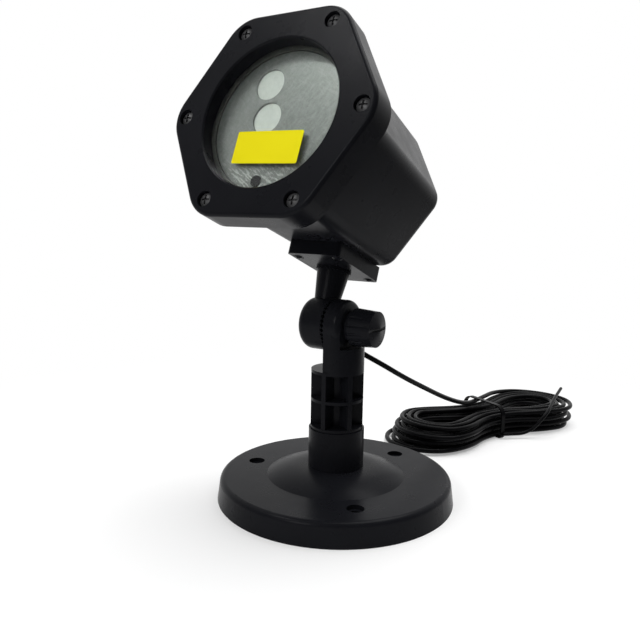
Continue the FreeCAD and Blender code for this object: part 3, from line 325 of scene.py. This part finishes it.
def remap(tree, value, span, to, smooth=False):
    """Stretch the span of a value to another span, and hold it at the ends."""
    node = tree.nodes.new("ShaderNodeMapRange")
    node.interpolation_type = "SMOOTHSTEP" if smooth else "LINEAR"
    for name, number in zip(("From Min", "From Max", "To Min", "To Max"), (*span, *to)):
        node.inputs[name].default_value = number
    tree.links.new(value, node.inputs["Value"])
    return node.outputs["Result"]


def two_tone(tree, factor, dark, light):
    ramp = tree.nodes.new("ShaderNodeValToRGB")
    for element, position, colour in zip(ramp.color_ramp.elements, NOISE_SPAN, (dark, light)):
        element.position = position
        element.color = (*colour, 1)
    tree.links.new(factor, ramp.inputs["Fac"])
    return ramp.outputs["Color"]


def bump(tree, shader, height, strength, distance):
    node = tree.nodes.new("ShaderNodeBump")
    node.inputs["Strength"].default_value = strength
    node.inputs["Distance"].default_value = distance
    tree.links.new(height, node.inputs["Height"])
    tree.links.new(node.outputs["Normal"], shader.inputs["Normal"])


print("noise counts from", *NOISE_SPAN)

# %% [markdown]
# ### Satin black plastic
# The mouldings are a deep black with a fine spark-eroded grain. Nearly all that shows of such a black is
# what it mirrors, so its colour is close to nought and its gloss does the work: dark where it faces the
# room, and pale where a surface lies almost in line with the eye and mirrors the bright side of the studio.
# Most other finishes here differ from it in numbers alone, so one function makes them all.

# %% A grained finish
MOTTLE_SCALE, GLOSS_SCALE = 40, 90
GRAIN_DETAIL, GRAIN_STRENGTH = 2.0, 0.35


def grained(name, dark, light, roughness, grain, depth, specular=0.5, metallic=0.0):
    """A finish whose colour, gloss and surface all vary a little."""
    material, tree, shader = new_finish(name, dark, roughness[0], metallic, specular)
    mottle = two_tone(tree, noise(tree, MOTTLE_SCALE), dark, light)
    gloss = remap(tree, noise(tree, GLOSS_SCALE), NOISE_SPAN, roughness)
    tree.links.new(mottle, shader.inputs["Base Color"])
    tree.links.new(gloss, shader.inputs["Roughness"])
    bump(tree, shader, noise(tree, grain, GRAIN_DETAIL), GRAIN_STRENGTH, depth)
    return material


satin_black = grained("satin_black", dark=(0.0068, 0.007, 0.0088), light=(0.0088, 0.0092, 0.0115),
                      roughness=(0.26, 0.32), grain=2600, depth=0.00004, specular=0.05)
print("satin black")

# %% [markdown]
# ### Other dark finishes
# Black pieces side by side are told apart by gloss. The bezel's screws are painted, a shade paler than the
# mouldings, the plug is shiny, rubber and foam are dull, and the jacket of the cable is the darkest, with
# a coarser and far shallower grain, so that light runs along it in an even line.

# %% Screws, plug, rubber, cable and foam
screw_black = grained("screw_black", dark=(0.04, 0.04, 0.042), light=(0.055, 0.055, 0.057),
                      roughness=(0.38, 0.46), grain=1500, depth=0.00002, specular=0.4)
gloss_black = grained("gloss_black", dark=(0.003, 0.003, 0.003), light=(0.005, 0.005, 0.005),
                      roughness=(0.16, 0.22), grain=1500, depth=0.00002, specular=0.3)
soft_rubber = grained("soft_rubber", dark=(0.005, 0.005, 0.005), light=(0.008, 0.008, 0.008),
                      roughness=(0.5, 0.6), grain=1800, depth=0.00004, specular=0.15)
cable_jacket = grained("cable_jacket", dark=(0.002, 0.002, 0.0025), light=(0.0035, 0.0035, 0.004),
                       roughness=(0.26, 0.32), grain=400, depth=0.000004, specular=0.05)
foam_grey = grained("foam_grey", dark=(0.05, 0.05, 0.048), light=(0.065, 0.065, 0.06),
                    roughness=(0.7, 0.8), grain=1500, depth=0.00008, specular=0.2)
print("five more dark finishes")

# %% [markdown]
# ### Metals and inner pieces
# The bolt, the nut and the parts behind the plate hardly show, but they have their own finishes, so that the
# head can be opened for a view of the inside. The receiver's lens does show: it is almost black, and smooth
# enough to mirror the dim side of the room and not the lamps.

# %% Metals and inner pieces
plated_steel = grained("plated_steel", dark=(0.5, 0.5, 0.5), light=(0.6, 0.6, 0.6),
                       roughness=(0.25, 0.35), grain=900, depth=0.00002, metallic=1.0)
turned_brass = grained("turned_brass", dark=(0.55, 0.42, 0.18), light=(0.66, 0.52, 0.26),
                       roughness=(0.25, 0.35), grain=900, depth=0.00002, metallic=1.0)
machined_metal = grained("machined_metal", dark=(0.5, 0.5, 0.51), light=(0.6, 0.6, 0.61),
                         roughness=(0.3, 0.42), grain=900, depth=0.00002, metallic=1.0)
board_green = grained("board_green", dark=(0.02, 0.13, 0.05), light=(0.03, 0.18, 0.07),
                      roughness=(0.35, 0.45), grain=800, depth=0.00003)
dark_case = grained("dark_case", dark=(0.03, 0.03, 0.035), light=(0.05, 0.05, 0.055),
                    roughness=(0.4, 0.5), grain=1200, depth=0.00003)
dark_lens = grained("dark_lens", dark=(0.003, 0.002, 0.003), light=(0.012, 0.01, 0.012),
                    roughness=(0.06, 0.1), grain=900, depth=0.000003, specular=0.1)
print("six inner finishes")

# %% [markdown]
# ### Brushed plate
# Behind the glass is a grey sheet with fine brush marks, and with scratches across them near its lower
# edge, painted pale where they catch the light: a painted glint. Both are noise drawn out along one
# direction: a Mapping node of the Texture kind turns first and scales after, so the long side of the noise
# can lie at any angle. The height above the floor says where the painted glints of the scratches show.

# %% Brush marks
BRUSH_DETAIL = 3.0


def brushed(tree, scale, degrees, length):
    """Noise drawn out along a direction that leans from the X axis towards the Z axis."""
    mapping = tree.nodes.new("ShaderNodeMapping")
    mapping.vector_type = "TEXTURE"
    mapping.inputs["Rotation"].default_value = (0, -math.radians(degrees), 0)
    mapping.inputs["Scale"].default_value = (length, 1, 1)
    tree.links.new(coordinates(tree), mapping.inputs["Vector"])
    return noise(tree, scale, BRUSH_DETAIL, mapping.outputs["Vector"])


brushed_plate, tree, shader = new_finish("brushed_plate", colour=(0.16, 0.166, 0.16), roughness=0.3,
                                         metallic=0.5)
streaks = brushed(tree, scale=900, degrees=62, length=24)
plate_gloss = remap(tree, streaks, NOISE_SPAN, (0.29, 0.35))
tree.links.new(plate_gloss, shader.inputs["Roughness"])
bump(tree, shader, streaks, strength=0.12, distance=0.00003)
print("plate brushed")

# %% Painted glints of scratches near the plate's lower edge
# The scratches are real, but their pale colour is a painted glint, held to the lower edge where they catch
# the light
SCRATCH_GLINT_SPAN, GLINT_FULL_TO, GLINT_GONE_FROM = (0.5, 0.62), 0.01, 0.02
MOST_GLINT, LEAST_GLINT = 0.85, 0.1
PLATE_DARK, PLATE_LIGHT, SCRATCH_GLINT_COLOUR = (0.145, 0.15, 0.145), (0.2, 0.206, 0.2), (0.45, 0.46, 0.44)


def math_node(tree, operation, first, second):
    node = tree.nodes.new("ShaderNodeMath")
    node.operation = operation
    for socket, value in zip(node.inputs, (first, second)):
        if isinstance(value, float):
            socket.default_value = value
        else:
            tree.links.new(value, socket)
    return node.outputs[0]


plate_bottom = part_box("aperture_plate")[0][2]
split = tree.nodes.new("ShaderNodeSeparateXYZ")
tree.links.new(coordinates(tree), split.inputs["Vector"])
# Painted glint: pale streaks mixed into the plate's colour, strongest at its lower edge
scratch_glints = remap(tree, brushed(tree, scale=1100, degrees=-35, length=6), SCRATCH_GLINT_SPAN, (0, 1))
low_glint_mask = remap(tree, split.outputs["Z"], (plate_bottom + GLINT_FULL_TO, plate_bottom + GLINT_GONE_FROM),
              (MOST_GLINT, LEAST_GLINT), smooth=True)
plate_colour = tree.nodes.new("ShaderNodeMix")
plate_colour.data_type = "RGBA"
tree.links.new(math_node(tree, "MULTIPLY", scratch_glints, low_glint_mask), plate_colour.inputs["Factor"])
tree.links.new(two_tone(tree, streaks, PLATE_DARK, PLATE_LIGHT), plate_colour.inputs["A"])
plate_colour.inputs["B"].default_value = (*SCRATCH_GLINT_COLOUR, 1)
tree.links.new(plate_colour.outputs["Result"], shader.inputs["Base Color"])
print("painted scratch glints on the plate up from", round(plate_bottom, 3), "m")

# %% [markdown]
# ### Apertures, glass and sticker
# The apertures are frosted film and the glass is clear with a faint green. Glass needs transmission, and a
# low roughness keeps what is behind it sharp. The sticker is plain yellow paper with a soft sheen.

# %% Frosted film, clear glass and yellow paper
frosted_film, tree, shader = new_finish("frosted_film", colour=(0.57, 0.6, 0.565), roughness=0.5,
                                        specular=0.3)
film_mottle = two_tone(tree, noise(tree, scale=500, detail=6.0), dark=(0.56, 0.59, 0.555),
                       light=(0.63, 0.655, 0.62))
tree.links.new(film_mottle, shader.inputs["Base Color"])
bump(tree, shader, noise(tree, scale=1500, detail=2.0), strength=0.3, distance=0.00003)
clear_glass, tree, shader = new_finish("clear_glass", colour=(0.95, 0.985, 0.96), roughness=0.0)
shader.inputs["Transmission Weight"].default_value = 1.0
shader.inputs["IOR"].default_value = 1.3
smears = remap(tree, noise(tree, scale=60), NOISE_SPAN, (0.0, 0.02))
tree.links.new(smears, shader.inputs["Roughness"])
yellow_paper = grained("yellow_paper", dark=(0.92, 0.8, 0.003), light=(0.95, 0.84, 0.004),
                       roughness=(0.5, 0.6), grain=1200, depth=0.00002, specular=0.08)
print("film, glass and paper")

# %% [markdown]
# ### Which piece wears what
# A piece from CAD comes with a plain material of its own, which has to go before the finish is put on. A
# table of finishes is easier to read, and to change, than a line for every piece.

# %% Dress the pieces
FINISHES = {
    satin_black: ("base", "post", "tilt_arm", "clamp_knob", "housing", "front_bezel", "arm_screws"),
    gloss_black: ("dc_plug",),
    cable_jacket: ("waist_tie",),
    screw_black: ("bezel_screws",),
    soft_rubber: ("bezel_gasket", "window_gasket", "cable_gland"),
    plated_steel: ("hinge_nut", "hinge_bolt", "board_screws"),
    turned_brass: ("red_laser_module", "green_laser_module"),
    machined_metal: ("laser_block",),
    board_green: ("driver_board",),
    dark_case: ("board_components",),
    dark_lens: ("ir_receiver",),
    brushed_plate: ("aperture_plate",),
    frosted_film: ("diffraction_gratings",),
    clear_glass: ("window_glass",),
}


def dress(piece, material):
    piece.data.materials.clear()
    piece.data.materials.append(material)


for material, names in FINISHES.items():
    for name in names:
        dress(nodes[name], material)
dress(cable, cable_jacket)
dress(sticker, yellow_paper)
dress(foam_ring, foam_grey)
print(sum(len(names) for names in FINISHES.values()), "nodes and three new pieces dressed")

# %% [markdown]
# ## Studio
# The floor is a pale sheet that keeps the object's soft shadow. Further out it turns into plain white for
# whatever the camera, a mirror or a pane sees, so no horizon shows. The change is a round gradient on the
# floor's own coordinates. On the right the sheet ends a hand's width from the foot: past it lies the dim
# side of the room, and the black right side of the head, which would mirror a white sheet, stays dark.

# %% Floor sheet
FLOOR_REACH, FLOOR_RIGHT = 3.0, 0.155
floor_middle = Matrix.Translation((FLOOR_RIGHT - FLOOR_REACH, 0, 0))
floor_mesh = bmesh.new()
bmesh.ops.create_grid(floor_mesh, x_segments=1, y_segments=1, size=FLOOR_REACH, matrix=floor_middle)
floor = new_piece("floor", floor_mesh)
print("floor ends", FLOOR_RIGHT, "m to the right")

# %% Floor that fades to white
FADE_START, FADE_END, FADE_LEAST = 0.1, 0.34, 0.3


def seen_rays(tree):
    """Two masks that are nought for light that spreads: with what a mirror shows, and without it."""
    path = tree.nodes.new("ShaderNodeLightPath").outputs
    clear = math_node(tree, "MAXIMUM", path["Is Camera Ray"], path["Is Transmission Ray"])
    return math_node(tree, "MAXIMUM", clear, path["Is Glossy Ray"]), clear


pale_floor, tree, shader = new_finish("pale_floor", colour=(0.93, 0.93, 0.93), roughness=0.7, specular=0.1)
distance = tree.nodes.new("ShaderNodeVectorMath")
distance.operation = "LENGTH"
tree.links.new(coordinates(tree), distance.inputs[0])
fade = remap(tree, distance.outputs["Value"], (FADE_START, FADE_END), (FADE_LEAST, 1), smooth=True)
white = tree.nodes.new("ShaderNodeEmission")
mixed = tree.nodes.new("ShaderNodeMixShader")
tree.links.new(math_node(tree, "MULTIPLY", fade, seen_rays(tree)[0]), mixed.inputs["Fac"])
tree.links.new(shader.outputs["BSDF"], mixed.inputs[1])
tree.links.new(white.outputs["Emission"], mixed.inputs[2])
tree.links.new(mixed.outputs["Shader"], tree.nodes["Material Output"].inputs["Surface"])
dress(floor, pale_floor)
print("floor fades from", FADE_START, "to", FADE_END, "m")

# %% [markdown]
# A studio for black things is bright behind and above them and dim on the camera's side, or they would turn
# grey all over. The world does this by direction: the Generated coordinate of a world is the way a ray goes,
# and its dot product with the camera's own direction, raised a little, says which side that is. The camera
# and the glass see plain white.

# %% World
GLOW_RISE, GLOW_SPAN = 0.45, (-0.1, 0.6)
DIM_SIDE, SPREAD_LIGHT = 0.12, 0.85
world = bpy.data.worlds.new("studio")
world.use_nodes = True
bpy.context.scene.world = world
tree = world.node_tree
surround = tree.nodes["Background"]
side = tree.nodes.new("ShaderNodeVectorMath")
side.operation = "DOT_PRODUCT"
side.inputs[1].default_value = Vector((-back.x, -back.y, GLOW_RISE)).normalized()
tree.links.new(coordinates(tree, "Generated"), side.inputs[0])
glow = remap(tree, side.outputs["Value"], GLOW_SPAN, (DIM_SIDE, 1))
seen, clear = seen_rays(tree)
dim = math_node(tree, "SUBTRACT", 1.0, clear)
shade = math_node(tree, "ADD", math_node(tree, "MULTIPLY", glow, dim), clear)
strength = math_node(tree, "MULTIPLY", shade, remap(tree, seen, (0, 1), (SPREAD_LIGHT, 1)))
tree.links.new(strength, surround.inputs["Strength"])
surround.inputs["Color"].default_value = (1, 1, 1, 1)
print("world bright along", [round(x, 2) for x in side.inputs[1].default_value])

# %% [markdown]
# Three soft lamps give the light a direction: a wide one overhead, a little behind, a smaller one from the
# upper left that lends the bezel its sheen, and one straight in front of the window, which lights the plate
# behind it.

# %% Lamps


def lamp(name, place, aim, size, watts):
    light = bpy.data.objects.new(name, bpy.data.lights.new(name, "AREA"))
    light.data.shape = "DISK"
    light.data.size = size
    light.data.energy = watts
    light.location = place
    light.rotation_euler = (Vector(aim) - Vector(place)).to_track_quat("-Z", "Y").to_euler()
    bpy.context.scene.collection.objects.link(light)


lamp("overhead", place=(0.1, 0.25, 1.1), aim=(0, 0.02, 0.1), size=0.9, watts=9)
lamp("sheen", place=(-0.585, -0.635, 1.295), aim=(0, 0, 0.15), size=0.3, watts=3.6)
lamp("front", place=(-0.11, -1.31, 0.78), aim=(0, 0, 0.15), size=0.5, watts=5.4)
print("three lamps")
